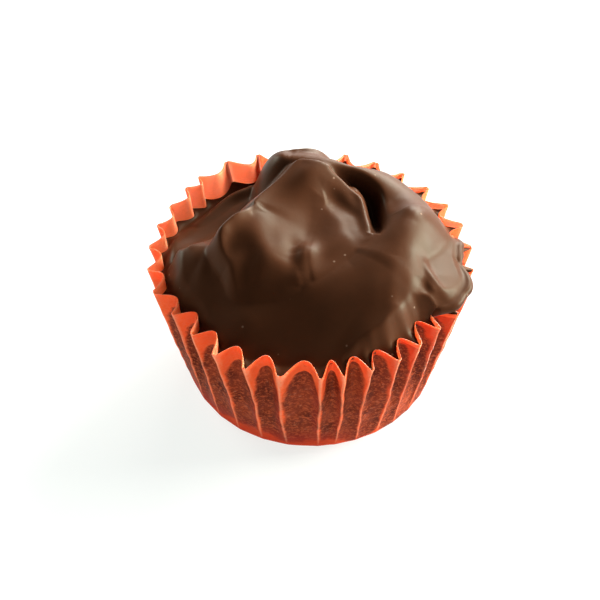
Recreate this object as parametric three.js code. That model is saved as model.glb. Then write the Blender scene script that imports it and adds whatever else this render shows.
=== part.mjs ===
// A chocolate cup in its pleated paper case. Millimetres, +Z up, the flat base on z = 0.
// The side that the photograph looks at is -Y, and the photograph's right is +X.
import * as THREE from "three";

// Paper case
const PLEATS = 32;
const RIM_HEIGHT = 21.5;
const RIM_RADIUS = 23.4;
const BASE_RADIUS = 17.8;
const BASE_SHIFT = 0.1;
const WALL_BULGE = 0.02;
const FOOT_HEIGHT = 2.0;
const FOOT_INSET = 1.8;
const PLEAT_DEPTH_BASE = 0.4;
const PLEAT_DEPTH_RIM = 2.8;
const SCALLOP_RISE = 0.55;
const FIRST_FOLD = 5;
const PAPER = 0.35;

// Where the rim flares out or is pinched in: angle, half width in degrees, millimetres
const RIM_FLARES = [[122, 20, 1.3], [216, 12, -1.3], [317, 10, -0.8]];
// Where the pleats crowd together: angle, half width, degrees
const CROWDED = [[263, 8, 3.2], [127, 9, 3.6]];
// Where the rim's pleats are pulled flatter: angle, half width, share lost
const PULLED_FLAT = [155, 48, 0.42];

// Chocolate
const GAP = 0.3;
const EDGE_HEIGHT = 20.9;
const EDGE_TILT = 0.9;
const EDGE_TILT_AT = -55;
// Where the edge dips or swells: angle, half width, millimetres
const EDGE_SWELLS = [[120, 32, -1.2], [185, 25, 0.4], [20, 35, 1.0]];
const EDGE_ROLL = 0.9;
const MOUND_RISE = 5.6;
const MOUND_RADIUS = 21;
const MOUND_POWER = 2.2;

// Where the chocolate lies over the rim, angles and millimetres:
// the flap at the right and the shoulder behind it
const FLAP = { at: -20, half: 4, fade: 10, over: 2.5 };
const SHOULDER = { at: 16, half: 16, fade: 12, over: 0.8 };
// The stretch of rim under them, whose scallops are pressed flat, and its dip under the flap
const SEAT = { at: 4, half: 42, fade: 9 };
const FLAP_DIP = { half: 9, fade: 8, drop: 0.5 };

// The swirl on top, in the order in which it is laid down.
// A fold follows its crest [x, y, z]; left and right are [width, drop, power] of its flanks.
// A lobe is a dome bounded at the left of its edge, where it falls off like a fold.
const SWIRL = [
  { form: "lump", at: [-10.5, 9.5], size: [8.2, 5.5], rise: -2.4 },
  { form: "fold", name: "back-left lip",
    crest: [[-17.5, 10.9, 20.3], [-12.7, 13.4, 21.4], [-8.7, 16.1, 21.2]],
    left: [2.2, 1.6, 2], right: [1.5, 1.3, 1.6], seam: 0.35 },
  { form: "fold", name: "left crest", crest: [[-20.7, 0.3, 21.6], [-16.7, -0.4, 24.4], [-12.7, -3.5, 25.2]],
    left: [5.5, 2, 2], right: [5, 1.9, 1.8], seam: 0.8 },
  { form: "fold", name: "back hump",
    crest: [[-5.2, 12.8, 28.2], [-2.6, 13.5, 29.9], [1.6, 13.7, 30.3], [4.8, 12.3, 28.3]],
    left: [3.6, 4.6, 2], right: [3.8, 2.4, 2], seam: 0.8 },
  { form: "fold", name: "brow",
    crest: [[-5.9, -3.4, 28.2], [-2.5, -7.8, 27.6], [2.5, -7.8, 27.8], [8.4, -5, 26.8]],
    left: [6, 0.3, 2], right: [5.5, 3.3, 1.7], seam: 1.2 },
  { form: "lobe", name: "central lobe", top: [1.5, 5, 31.4], spread: [0.034, 0.021], lip: [0.3, 0.9],
    edge: [[-7.3, 2.8], [-4.6, 7.4], [-0.3, 9.5], [4.5, 8.2], [8, 4.2], [8.6, 0.5], [7.8, -3.6]],
    outside: [1.6, 2.8, 1.6], seam: 0.5 },
  { form: "lump", at: [-3.8, -5.1], size: [2.4, 2.2], rise: -1.6 },
  { form: "lump", at: [0.9, -5.5], size: [2, 1.9], rise: -1.2 },
  { form: "fold", name: "finger", crest: [[-1.4, -4.6, 29], [-1.7, -6.6, 28.7], [-1.9, -8.3, 27.6]],
    left: [1.5, 1, 2], right: [1.5, 1, 2], seam: 0.6 },
  { form: "fold", name: "nose",
    crest: [[-6.5, 1.7, 29], [-8.5, 1, 29.1], [-10, -0.8, 28.7], [-11.2, -4.2, 27.3],
    [-10.9, -7.8, 25.2]], left: [2.8, 2.4, 2], right: [1.4, 2.8, 1.8], seam: 0.4 },
  { form: "fold", name: "inner curl",
    crest: [[1.5, 3.6, 30.6], [3.9, 1.3, 30.8], [5.9, -1.4, 29.9], [7, -3.4, 28.5]],
    left: [1.6, 1, 2], right: [4, 1.3, 2], seam: 0.6 },
  { form: "groove", name: "curl's hollow", line: [[3.4, 4], [6.3, 2.3], [7.2, 0]], width: 0.9, depth: 1.1 },
  { form: "fold", name: "right shoulder", crest: [[12.6, 14.2, 24.2], [17, 10.5, 24.1], [19.6, 5.4, 24],
    [20.7, -1, 23.8]], left: [2.2, 1.2, 2], right: [1.7, 1.4, 1.6], seam: 0.4 },
  { form: "fold", name: "right fold",
    crest: [[3.7, 10, 30.2], [8.2, 9.5, 29.7], [12.7, 6.9, 28.9], [15.3, 2.2, 27.6],
    [14.4, -5.2, 25.6], [13.6, -11, 23.7], [13.7, -16.5, 22]],
    left: [1.6, 3.2, 1.7], right: [5, 3, 1.8], seam: 0.4 },
  { form: "fold", name: "flap",
    crest: [[18.2, -0.3, 24.3], [16.8, -4.4, 24.5], [17.5, -8.9, 24], [20.7, -11, 22.8]],
    left: [7, 1, 2], right: [1, 1.6, 1.6], seam: 0.35 },
  { form: "groove", name: "crevice",
    line: [[4, 11], [8.9, 7.1], [9.8, 2.6], [9, -2]], width: 1.15, depth: 4.2 },
  { form: "lump", at: [-8.3, -12.9], size: [3.9, 3], rise: 0.6 },
];

// Fineness of the facets
const PER_PLEAT = 5;
const COLUMNS = PLEATS * PER_PLEAT;
const WALL_HEIGHTS = [0, 0.6, 2, 7, 14];
const EDGE_ROWS = [0.97, 0.935, 0.895];
const FINE_ROWS = 9;
const MEDIUM_FROM = 0.5;
const MEDIUM_ROWS = 6;
const COARSE_FROM = 0.25;
const COARSE_ROWS = 3;
const PATH_STEPS = 8;
const BLEND = 16;
const PLEAT_FADE = 24;

const RADIANS = Math.PI / 180;

function mix(a, b, share) {
  return a + (b - a) * share;
}

function clamp(value, low, high) {
  return Math.min(high, Math.max(low, value));
}

// 1 at the angle asked for, falling to 0 on both sides
function near(degrees, at, halfWidth) {
  const off = ((((degrees - at) % 360) + 540) % 360) - 180;
  return Math.exp(-((off / halfWidth) ** 2));
}

// 1 within half of the angle, smoothly 0 beyond half + fade
function plateau(degrees, at, half, fade) {
  const off = Math.abs(((((degrees - at) % 360) + 540) % 360) - 180);
  const share = clamp((half + fade - off) / fade, 0, 1);
  return share * share * (3 - 2 * share);
}

// Direction in degrees of the point that lies u pleats round the rim
function foldAngle(u) {
  const even = (360 * u) / PLEATS + FIRST_FOLD;
  let angle = even + 2.6 + 2.4 * Math.cos(2 * (even - 76) * RADIANS) - 1.2 * Math.cos((even - 80) * RADIANS);
  for (const [at, width, amount] of CROWDED) {
    angle += amount * near(even, at, width);
  }
  return angle;
}

// Shape of one pleat: 1 at the sharp outer fold, 0 in the round inner fold
function pleat(u) {
  const off = Math.abs(2 * (u - Math.floor(u)) - 1);
  return 0.35 * off + 0.65 * off ** 2.2;
}

function rimRadius(angle) {
  let radius = RIM_RADIUS;
  for (const [at, width, amount] of RIM_FLARES) {
    radius += amount * near(angle, at, width);
  }
  return radius;
}

function seated(angle) {
  return plateau(angle, SEAT.at, SEAT.half, SEAT.fade);
}

function flapDip(angle) {
  return FLAP_DIP.drop * plateau(angle, FLAP.at, FLAP_DIP.half, FLAP_DIP.fade);
}

function rimHeight(u) {
  const angle = foldAngle(u);
  return RIM_HEIGHT + SCALLOP_RISE * (1 - pleat(u)) * (1 - seated(angle)) - flapDip(angle);
}

// How far the chocolate's edge reaches out over the rim
function overhang(angle) {
  return Math.max(
    FLAP.over * plateau(angle, FLAP.at, FLAP.half, FLAP.fade),
    SHOULDER.over * plateau(angle, SHOULDER.at, SHOULDER.half, SHOULDER.fade),
  );
}

function footShare(height) {
  return clamp(1 - height / FOOT_HEIGHT, 0, 1);
}

// Plan position of the paper's outer face, u pleats round and at share s of the height
function wallPoint(u, s) {
  const angle = foldAngle(u);
  const foot = footShare(s * RIM_HEIGHT);
  const outer = BASE_RADIUS + (rimRadius(angle) - BASE_RADIUS) * (s + WALL_BULGE * Math.sin(Math.PI * s));
  const depth = mix(PLEAT_DEPTH_BASE, PLEAT_DEPTH_RIM, clamp(s, 0, 1.1) ** 0.9);
  const [flatAt, flatWidth, lost] = PULLED_FLAT;
  const kept = 1 - lost * near(angle, flatAt, flatWidth);
  const radius = outer - FOOT_INSET * (1 - Math.sqrt(1 - foot * foot)) - depth * kept * (1 - pleat(u));
  const x = BASE_SHIFT * (1 - s) + radius * Math.cos(angle * RADIANS);
  const y = radius * Math.sin(angle * RADIANS);
  return [x, y];
}

// One level of wall moved inwards by the distance asked for, square to the pleats' flanks
function insetRing(ring, distance) {
  const count = ring.length;
  return ring.map((point, i) => {
    const before = ring[(i + count - 1) % count];
    const after = ring[(i + 1) % count];
    const a = unitNormal(before, point);
    const b = unitNormal(point, after);
    const scale = distance / Math.max(1 + a[0] * b[0] + a[1] * b[1], 0.3);
    return [point[0] + (a[0] + b[0]) * scale, point[1] + (a[1] + b[1]) * scale];
  });
}

// Inward normal of an edge of a ring that runs anticlockwise
function unitNormal(from, to) {
  const dx = to[0] - from[0];
  const dy = to[1] - from[1];
  const length = Math.hypot(dx, dy);
  return [-dy / length, dx / length];
}

// Evenly spaced shares from just after one value down to another
function between(from, to, count) {
  return Array.from({ length: count }, (_, i) => mix(from, to, (i + 1) / count));
}

function columnPlace(column) {
  return column / PER_PLEAT;
}

// A ring of wall vertices at the height share given for each column
function wallRing(shareAt, inset) {
  const ring = [];
  for (let column = 0; column < COLUMNS; column += 1) {
    const u = columnPlace(column);
    ring.push(wallPoint(u, shareAt(u)));
  }
  return inset > 0 ? insetRing(ring, inset) : ring;
}

function smoothPath(points) {
  const first = points[0].map((value, k) => 2 * value - points[1][k]);
  const end = points.length - 1;
  const last = points[end].map((value, k) => 2 * value - points[end - 1][k]);
  const all = [first, ...points, last];
  const line = [];
  for (let i = 1; i < all.length - 2; i += 1) {
    const [a, b, c, d] = all.slice(i - 1, i + 3);
    for (let step = 0; step < PATH_STEPS; step += 1) {
      const t = step / PATH_STEPS;
      line.push(b.map((value, k) => 0.5 * (2 * value + (c[k] - a[k]) * t
        + (2 * a[k] - 5 * value + 4 * c[k] - d[k]) * t * t
        + (3 * value - a[k] - 3 * c[k] + d[k]) * t * t * t)));
    }
  }
  line.push(points[end]);
  return line;
}

// Distance from a path, the side of it (1 left, -1 right) and the path's height there,
// blended between the stretches that are about equally near
function alongPath(x, y, line) {
  const found = [];
  let nearest = 1e9;
  for (let i = 0; i < line.length - 1; i += 1) {
    const [ax, ay] = line[i];
    const dx = line[i + 1][0] - ax;
    const dy = line[i + 1][1] - ay;
    const length = Math.hypot(dx, dy);
    const t = clamp(((x - ax) * dx + (y - ay) * dy) / (length * length), 0, 1);
    const ex = x - ax - t * dx;
    const ey = y - ay - t * dy;
    const distance = Math.max(Math.hypot(ex, ey), 1e-4);
    const side = clamp((dx * ey - dy * ex) / (length * distance), -1, 1);
    const height = line[i].length > 2 ? mix(line[i][2], line[i + 1][2], t) : 0;
    found.push({ distance, side, height, share: (i + t) / (line.length - 1) });
    nearest = Math.min(nearest, distance);
  }
  const total = { weight: 0, side: 0, height: 0, share: 0 };
  for (const { distance, side, height, share } of found) {
    const weight = (nearest / distance) ** BLEND;
    total.weight += weight;
    total.side += weight * side;
    total.height += weight * height;
    total.share += weight * share;
  }
  return {
    distance: nearest * total.weight ** (-1 / BLEND),
    side: total.side / total.weight,
    height: total.height / total.weight,
    share: total.share / total.weight,
  };
}

function flank(distance, [width, drop, power]) {
  return drop * (distance / width) ** power;
}

// The higher of two surfaces with a soft seam between them
function merge(a, b, seam) {
  const share = clamp(0.5 + (0.5 * (a - b)) / seam, 0, 1);
  return mix(b, a, share) + seam * share * (1 - share);
}

function edgeHeight(angle) {
  let height = EDGE_HEIGHT + EDGE_TILT * Math.cos((angle - EDGE_TILT_AT) * RADIANS);
  for (const [at, width, amount] of EDGE_SWELLS) {
    height += amount * near(angle, at, width);
  }
  return height;
}

for (const form of SWIRL) {
  form.path = smoothPath(form.crest ?? form.edge ?? form.line ?? [form.at, form.at]);
}

// Height of the chocolate's top over a point of the plan
function topHeight(x, y) {
  const angle = Math.atan2(y, x) / RADIANS;
  const out = clamp(Math.hypot(x, y) / MOUND_RADIUS, 0, 1.4);
  let z = edgeHeight(angle) + MOUND_RISE * (1 - out ** MOUND_POWER);
  for (const form of SWIRL) {
    if (form.form === "lump") {
      const [cx, cy] = form.at;
      z += form.rise * Math.exp(-(((x - cx) / form.size[0]) ** 2) - ((y - cy) / form.size[1]) ** 2);
      continue;
    }
    const { distance, side, height, share } = alongPath(x, y, form.path);
    const leftShare = 0.5 + 0.5 * side;
    if (form.form === "groove") {
      const ends = Math.sin(Math.PI * clamp(share, 0.03, 0.97)) ** 0.6;
      z -= form.depth * ends * Math.exp(-((distance / form.width) ** 2));
    } else if (form.form === "fold") {
      const drop = mix(flank(distance, form.right), flank(distance, form.left), leftShare);
      z = merge(z, height - drop, form.seam);
    } else {
      const [tx, ty, tz] = form.top;
      const dome = tz - form.spread[0] * (x - tx) ** 2 - form.spread[1] * (y - ty) ** 2;
      const [lipRise, lipWidth] = form.lip;
      const lip = lipRise * Math.exp(-((distance / lipWidth) ** 2));
      z = merge(z, dome + lip - flank(distance, form.outside) * leftShare, form.seam);
    }
  }
  return z;
}

class Skin {
  constructor() {
    this.points = [];
    this.faces = [];
  }

  ring(plan, heightAt) {
    const start = this.points.length;
    plan.forEach(([x, y], i) => this.points.push([x, y, heightAt(i)]));
    return { start, count: plan.length };
  }

  dot(x, y, z) {
    this.points.push([x, y, z]);
    return this.points.length - 1;
  }

  // Faces between a ring and the next; upwards round an anticlockwise ring they face outwards
  band(low, high) {
    for (let i = 0; i < low.count; i += 1) {
      const j = (i + 1) % low.count;
      this.faces.push([low.start + i, low.start + j, high.start + j]);
      this.faces.push([low.start + i, high.start + j, high.start + i]);
    }
  }

  // Faces from a ring to one with half as many points
  halve(fine, coarse) {
    for (let i = 0; i < coarse.count; i += 1) {
      const a = fine.start + 2 * i;
      const b = fine.start + 2 * i + 1;
      const c = fine.start + ((2 * i + 2) % fine.count);
      const d = coarse.start + i;
      const e = coarse.start + ((i + 1) % coarse.count);
      this.faces.push([a, b, d]);
      this.faces.push([b, e, d]);
      this.faces.push([b, c, e]);
    }
  }

  fan(ring, centre, down) {
    for (let i = 0; i < ring.count; i += 1) {
      const a = ring.start + i;
      const b = ring.start + ((i + 1) % ring.count);
      this.faces.push(down ? [b, a, centre] : [a, b, centre]);
    }
  }

  geometry(shift) {
    const geometry = new THREE.BufferGeometry();
    const flat = this.points.flatMap(([x, y, z]) => [x + shift[0], y + shift[1], z]);
    geometry.setAttribute("position", new THREE.Float32BufferAttribute(flat, 3));
    geometry.setIndex(this.faces.flat());
    geometry.computeVertexNormals();
    return geometry;
  }
}

// The case is one thin wall: outer face upwards, over the rim, inner face down to the floor
function paperCase() {
  const skin = new Skin();
  const shares = WALL_HEIGHTS.map((height) => height / RIM_HEIGHT);
  shares.push(1);
  const heightOf = (share, lift) => (i) => {
    const height = share * rimHeight(columnPlace(i));
    return height + lift * footShare(height);
  };
  const outer = shares.map((share) => skin.ring(wallRing(() => share, 0), heightOf(share, 0)));
  const inner = shares.map((share) => skin.ring(wallRing(() => share, PAPER), heightOf(share, PAPER)));
  for (let i = 0; i < shares.length - 1; i += 1) {
    skin.band(outer[i], outer[i + 1]);
    skin.band(inner[i + 1], inner[i]);
  }
  skin.band(outer[outer.length - 1], inner[inner.length - 1]);
  skin.fan(outer[0], skin.dot(BASE_SHIFT, 0, 0), true);
  skin.fan(inner[0], skin.dot(BASE_SHIFT, 0, PAPER), false);
  return skin;
}

function scaledRing(ring, smooth, share, every) {
  const out = [];
  const keep = share ** PLEAT_FADE;
  for (let i = 0; i < ring.length; i += every) {
    out.push([share * mix(smooth[i][0], ring[i][0], keep), share * mix(smooth[i][1], ring[i][1], keep)]);
  }
  return out;
}

// A ring with its pleats averaged away
function evened(ring) {
  const reach = Math.floor(PER_PLEAT / 2);
  return ring.map((_, i) => {
    const sum = [0, 0];
    for (let k = -reach; k <= reach; k += 1) {
      const [x, y] = ring[(i + k + ring.length) % ring.length];
      sum[0] += x / PER_PLEAT;
      sum[1] += y / PER_PLEAT;
    }
    return sum;
  });
}

function pushedOut(ring, amountAt) {
  return ring.map(([x, y], i) => {
    const radius = Math.hypot(x, y);
    const scale = 1 + amountAt(i) / radius;
    return [x * scale, y * scale];
  });
}

// The filling is one body: floor, wall inside the paper, rolled edge with the flap, and the swirled top
function chocolate() {
  const skin = new Skin();
  const inset = PAPER + GAP;
  const angles = Array.from({ length: COLUMNS }, (_, i) => foldAngle(columnPlace(i)));
  const over = angles.map(overhang);
  const eased = over.map((reach) => Math.min(reach / SHOULDER.over, 1));
  const clearRim = angles.map((angle) => RIM_HEIGHT - flapDip(angle) + GAP + 0.05);
  const wallTop = angles.map((angle, i) => mix(edgeHeight(angle) - EDGE_ROLL, clearRim[i], seated(angle)));
  const edgeTop = wallTop.map((z) => z + EDGE_ROLL);

  const levels = WALL_HEIGHTS.map((height) => {
    const share = height / RIM_HEIGHT;
    return skin.ring(wallRing(() => share, inset), (i) => {
      const z = share * rimHeight(columnPlace(i));
      return z + inset * footShare(z);
    });
  });
  const topPlan = wallRing((u) => {
    const i = Math.round(u * PER_PLEAT);
    return wallTop[i] / rimHeight(u);
  }, inset);
  levels.push(skin.ring(topPlan, (i) => wallTop[i]));
  const even = evened(topPlan);
  const lip = topPlan.map(([x, y], i) => [mix(x, even[i][0], eased[i]), mix(y, even[i][1], eased[i])]);
  const under = pushedOut(lip, (i) => over[i] - 0.1);
  const nose = pushedOut(lip, (i) => over[i] + 0.15 * eased[i] - 0.35);
  const brim = pushedOut(lip, (i) => over[i] + 0.25 * eased[i] - 0.9);
  levels.push(skin.ring(under, (i) => wallTop[i] + 0.3 * EDGE_ROLL));
  levels.push(skin.ring(nose, (i) => wallTop[i] + 0.6 * EDGE_ROLL));
  levels.push(skin.ring(brim, (i) => edgeTop[i]));
  for (let i = 0; i < levels.length - 1; i += 1) {
    skin.band(levels[i], levels[i + 1]);
  }
  skin.fan(levels[0], skin.dot(BASE_SHIFT, 0, inset), true);

  const smoothBrim = evened(brim);
  const row = (share, every) => {
    const plan = scaledRing(brim, smoothBrim, share, every);
    const blend = clamp((1 - share) / 0.07, 0, 1);
    return skin.ring(plan, (i) => mix(edgeTop[i * every], topHeight(...plan[i]), blend * blend * (3 - 2 * blend)));
  };
  // The rows run inwards, and each set has half as many points round as the one before
  const sets = [
    { every: 1, shares: [...EDGE_ROWS, ...between(EDGE_ROWS[EDGE_ROWS.length - 1], MEDIUM_FROM, FINE_ROWS)] },
    { every: 2, shares: between(MEDIUM_FROM, COARSE_FROM, MEDIUM_ROWS) },
    { every: 4, shares: between(COARSE_FROM, 0, COARSE_ROWS).slice(0, -1) },
  ];
  let last = levels[levels.length - 1];
  for (const { every, shares } of sets) {
    for (const share of shares) {
      const next = row(share, every);
      if (next.count < last.count) {
        skin.halve(last, next);
      } else {
        skin.band(last, next);
      }
      last = next;
    }
  }
  skin.fan(last, skin.dot(0, 0, topHeight(0, 0)), false);
  return skin;
}

function middle(skins) {
  const low = [Infinity, Infinity];
  const high = [-Infinity, -Infinity];
  for (const skin of skins) {
    for (const point of skin.points) {
      for (const k of [0, 1]) {
        low[k] = Math.min(low[k], point[k]);
        high[k] = Math.max(high[k], point[k]);
      }
    }
  }
  return [(low[0] + high[0]) / 2, (low[1] + high[1]) / 2];
}

function piece(name, skin, shift, colour, roughness) {
  const material = new THREE.MeshStandardMaterial({ color: colour, roughness, metalness: 0 });
  const mesh = new THREE.Mesh(skin.geometry(shift), material);
  mesh.name = name;
  return mesh;
}

const paperSkin = paperCase();
const chocolateSkin = chocolate();
const centre = middle([paperSkin, chocolateSkin]);
const shift = [-centre[0], -centre[1]];

const cup = new THREE.Group();
cup.name = "chocolate_cup";
cup.add(piece("paper_case", paperSkin, shift, 0xd9532c, 0.8));
cup.add(piece("chocolate", chocolateSkin, shift, 0x4a2c1d, 0.45));

export default cup;
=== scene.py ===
import math
from typing import NamedTuple

import bpy
import numpy as np
from bpy.props import FloatProperty, FloatVectorProperty, PointerProperty
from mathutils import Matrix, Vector


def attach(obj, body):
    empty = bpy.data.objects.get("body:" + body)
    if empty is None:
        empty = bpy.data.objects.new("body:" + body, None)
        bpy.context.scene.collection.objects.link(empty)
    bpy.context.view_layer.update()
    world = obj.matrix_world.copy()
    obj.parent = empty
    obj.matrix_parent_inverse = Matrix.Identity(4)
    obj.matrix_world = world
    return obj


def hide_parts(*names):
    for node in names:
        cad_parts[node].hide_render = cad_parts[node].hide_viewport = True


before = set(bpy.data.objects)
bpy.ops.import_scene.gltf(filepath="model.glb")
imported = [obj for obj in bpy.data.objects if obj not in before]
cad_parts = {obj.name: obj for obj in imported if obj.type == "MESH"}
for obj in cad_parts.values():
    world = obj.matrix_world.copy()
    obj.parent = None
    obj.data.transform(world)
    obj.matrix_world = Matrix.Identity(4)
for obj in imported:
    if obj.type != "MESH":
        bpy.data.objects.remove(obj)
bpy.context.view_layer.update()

bl_info = {
    "name": "Chocolate cup in a paper case",
    "version": (1, 0, 0),
    "blender": (4, 5, 0),
    "location": "View3D > Sidebar > Chocolate Cup",
    "description": "Builds a swirled chocolate candy cup in its pleated paper case",
    "category": "Object",
}


class Swell(NamedTuple):
    """An amount that is whole at one angle and dies away on both sides of it."""
    at: float
    width: float
    amount: float


class Stretch(NamedTuple):
    """An amount that is whole along a stretch of the rim and fades out beyond its ends."""
    at: float
    half: float
    fade: float
    amount: float = 1


# The shapes are worked out in millimetres and degrees, +Z up, -Y towards the photographed side
MM = 0.001

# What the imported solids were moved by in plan, so that their box is centred
PLAN_SHIFT = (-0.009, -0.051)

# Where the pleats' folds stand
PLEATS = 32
FIRST_FOLD = 5
FOLDS_TURN = 2.6
# Waves in one round, the degrees at which one peaks, and how far it moves the folds there
FOLD_WAVES = ((2, 76, 2.4), (1, 80, -1.2))
CROWDED = (Swell(263, 8, 3.2), Swell(127, 9, 3.6))

# The paper's wall, its foot and its rim
BASE_SHIFT = 0.1
WALL_BULGE = 0.02
FOOT_HEIGHT = 2.0
FOOT_INSET = 1.8
RIM_FLARES = (Swell(122, 20, 1.3), Swell(216, 12, -1.3), Swell(317, 10, -0.8))
RIM_DIP = Swell(270, 55, 0.5)
SCALLOP_RISE = 0.55
SCALLOP_POWER = 1.3
CRINKLE_DEPTH = 0.08
CRINKLE_SIZE = 5
CRINKLE_SALT = 6
# How much of the paper's thickness is left at the very rim
EDGE_TAPER = 0.4

# The pleats' depth and shape; the power rounds the inner folds, and the rim's folds are blunter
PLEAT_DEPTH_BASE = 0.04
PLEAT_DEPTH_POWER = 1.6
PULLED_FLAT = Swell(155, 48, 0.42)
PANEL_SKEW = 0.45
SKEW_SALT = 2
FOLD_SLOPE = 0.08
FOLD_POWER = 2.1
RIM_BLUNTNESS = 0.16

# How each fold wanders aside on its way up: waves, how fast they turn and how far in degrees
WANDERS = (("slow wander", 11, 0.25), ("quick wander", 27, 0.12))

# What differs from fold to fold: the salt of its chance and the most that it comes to
UNEVEN = {
    "lean": (1, 1.1),
    "scallop": (3, 0.15),
    "rim height": (4, 0.1),
    "pleat depth": (5, 0.1),
    "stain's sides": (9, 0.03),
    "stain's foot": (10, 1.6),
    "slow wander": (11, 6),
    "quick wander": (12, 9),
    "stain's top": (13, 0.5),
    "wear at the rim": (14, 0.12),
}

# The stain on each panel: how far it stays below the rim and above the floor, and its arch
STAIN_BELOW_RIM = 2.1
STAIN_ABOVE_FLOOR = 2.6
STAIN_FOOT_FADE = 6
STAIN_ARCH_FROM = 12
STAIN_ARCH_POWER = 0.3
STAIN_HALF = 0.97
SOAKED_HIGH = Stretch(314, 24, 12)
SOAKED_TOP = 1.8
SOAKED_FOOT = 2.4

# The pale line along a fold, rubbed-off dye with a painted highlight: the widths of the line and
# of the wedge at the rim, in shares of the panel's, and for each from what share of the wall's
# height, and over how much of it, it grows
WEAR_LINE = 0.05
WEAR_WEDGE = 0.34
WEAR_WEDGE_POWER = 1.2
WEAR_START = (0.05, 0.12)
WEAR_WIDENS = (0.76, 0.24)
WEAR_AT_FOOT = 0.6

# Marks the paper's inner face in the field that holds the margin of the stain
INNER_FACE = -5.0

# The chocolate's edge
EDGE_HEIGHT = 20.9
EDGE_BELOW_RIM = 0.7
EDGE_SLOPE_REACH = 0.045
EDGE_SLOPE_GAIN = 0.022
EDGE_TILT = 1.44
EDGE_TILT_AT = -10
EDGE_SWELLS = (Swell(128, 30, -1.7), Swell(185, 25, 0.4), Swell(20, 30, 0.5))

# Where the chocolate reaches out over the rim and rests on it, and how far it presses the rim down
FLAP = Stretch(-20, 6, 10, 1.9)
SHOULDER = Stretch(2, 6, 12, 0.35)
SEAT = Stretch(-14, 16, 9)
FLAP_DIP = Stretch(-20, 9, 8, 0.5)
SEAT_CLEARANCE = 0.12
FLAP_EDGE_RADIUS = 0.75
FLAP_TUCK = -80

# The mound that the swirl is laid on; the swirl's fit also set its rise and power and EDGE_TILT
MOUND_RISE = 6.96
MOUND_RADIUS = 21
MOUND_POWER = 2.55

# How finely the meshes are cut
PER_PLEAT = 16
COLUMNS = PLEATS * PER_PLEAT
PAPER_FOOT_LEVELS = (0, 0.15, 0.35, 0.6, 0.9, 1.25, 1.65, 2.1)
PAPER_WALL_LEVELS = 37
PAPER_LAST_SHARES = (0.998, 1)
CHOCOLATE_WALL_LEVELS = (0, 0.3, 0.6, 1.2, 2, 4.5, 7, 10.5, 14, 17)
EDGE_TURNS = 7
EDGE_ROWS = (0.995, 0.988, 0.98, 0.97, 0.96, 0.95, 0.94, 0.93, 0.915, 0.9)
# The rows from there inwards: one in how many columns, the shares between which they lie, how many
TOP_ROWS = ((1, 0.9, 0.5, 42), (2, 0.5, 0.25, 26), (4, 0.25, 0, 22))
PLEAT_FADE = 60

# Paths: the length of a step, and how sharply the nearest stretch outweighs the others
PATH_SPACING = 0.3
BLEND = 16
STRAIGHT_SHARE = math.sqrt(math.pi) * math.gamma((BLEND - 1) / 2) / math.gamma(BLEND / 2)
NEAREST = 1e-4

# Painted shade on the paper by place, in metres: from where, to where, and how much at each
FOOT_PAINTED_SHADE = (0.0065, 0.002, 0.0, 0.95)
UPPER_PAINTED_SHADE = (0.0195, 0.017, 0.0, 0.5)
PAINTED_SHADE_EASES_RIGHT = (0.001, 0.009, 1.0, 0.1)
CLEAN_PAINTED_SHADE_RIGHT = (0.004, 0.015, 0.0, 0.6)
FOLD_PAINTED_SHADE_RIGHT = (0.006, 0.017, 1.0, 0.6)
# Where painted shade dims the inner face's flanks, which catch too much light there
INNER_PAINTED_SHADE_FROM_LEFT = (-0.0175, -0.0145)
INNER_PAINTED_SHADE_TO_MIDDLE = (-0.004, -0.007)

# Colours of the chocolate's specks and of the dry specks in the grease
SPECK_COLOUR = (0.55, 0.38, 0.27)
DRY_COLOUR = (0.62, 0.22, 0.12)

# How nodes are placed in their tree
NODE_ROWS = 10
NODE_STEP = (220, 180)
NODE_LEFT = -1800

# The photograph's camera: degrees, millimetres, and pixels of its 600 pixel frame
CAMERA_RISE = 44.5
CAMERA_DISTANCE = 280
CAMERA_FOCAL = 1920
CAMERA_AIM = (0, 0, 15)
CAMERA_CENTRE = (310.2, 290.1)
CAMERA_SENSOR = 36
PHOTO_SIDE = 600

# Lights: degrees from straight behind towards the right and up, size in metres, the setting that
# holds the power, the share of it, and whether glossy surfaces mirror the light
LIGHTS = (
    ("back window", (19.5, 17.5), (0.42, 0.36), "back_power", 0.44, True),
    ("high back light", (44, 29), (0.4, 0.3), "back_power", 0.56, True),
    ("back left light", (-50, 16), (0.4, 0.3), "back_power", 0.27, True),
    ("side light", (76, 14), (0.35, 0.28), "side_power", 1, True),
    ("fill light", (188, 10), (0.6, 0.15), "fill_power", 1, False),
)
LIGHT_DISTANCE = 0.7
LIGHT_AIM = (0, 0, 0.02)
LIGHT_COLOUR = (1.0, 0.96, 0.9)
WORLD_STRENGTH = 0.11
FLOOR_DROP = 0.00005


# Sizes and colours that a user would change

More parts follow.
